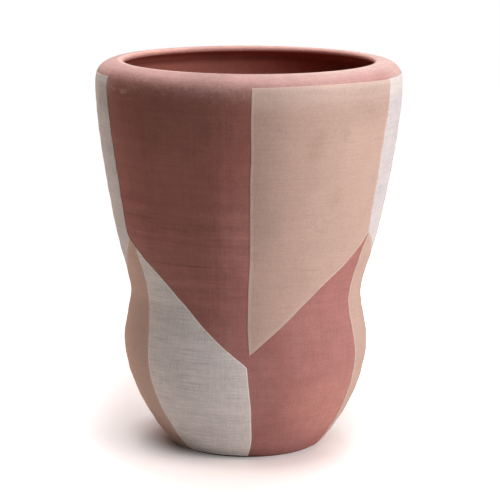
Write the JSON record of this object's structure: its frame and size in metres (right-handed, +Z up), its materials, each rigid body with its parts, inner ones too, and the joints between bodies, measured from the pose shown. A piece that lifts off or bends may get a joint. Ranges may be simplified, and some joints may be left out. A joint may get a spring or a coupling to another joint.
{
  "type": "terracotta vase",
  "caption": "Wide-mouthed terracotta vase with a rolled-in lip, a drawn-in waist and a full belly, painted with straight-edged fields of sand and white slip around a zigzag line.",
  "frame": {"origin": "centre of the foot, on the plane that the vase stands on", "axes": "+Z up along the vase's axis; the pictured front faces -Y"},
  "size_m": [0.2516, 0.2513, 0.32],
  "materials": {
    "terracotta": "bare low-fired clay, matte, with throwing rings and a pale bloom at the rim",
    "sand_slip": "brushed matte slip, warm sand",
    "white_slip": "brushed matte slip, chalky white with fine level brush lines"
  },
  "bodies": {
    "root": {"clay_body": "terracotta", "front_upper_sand_slip": "sand_slip", "right_upper_white_slip": "white_slip", "back_upper_sand_slip": "sand_slip", "left_upper_white_slip": "white_slip", "front_lower_white_slip": "white_slip", "right_lower_sand_slip": "sand_slip", "back_lower_white_slip": "white_slip", "left_lower_sand_slip": "sand_slip"}
  },
  "joints": []
}
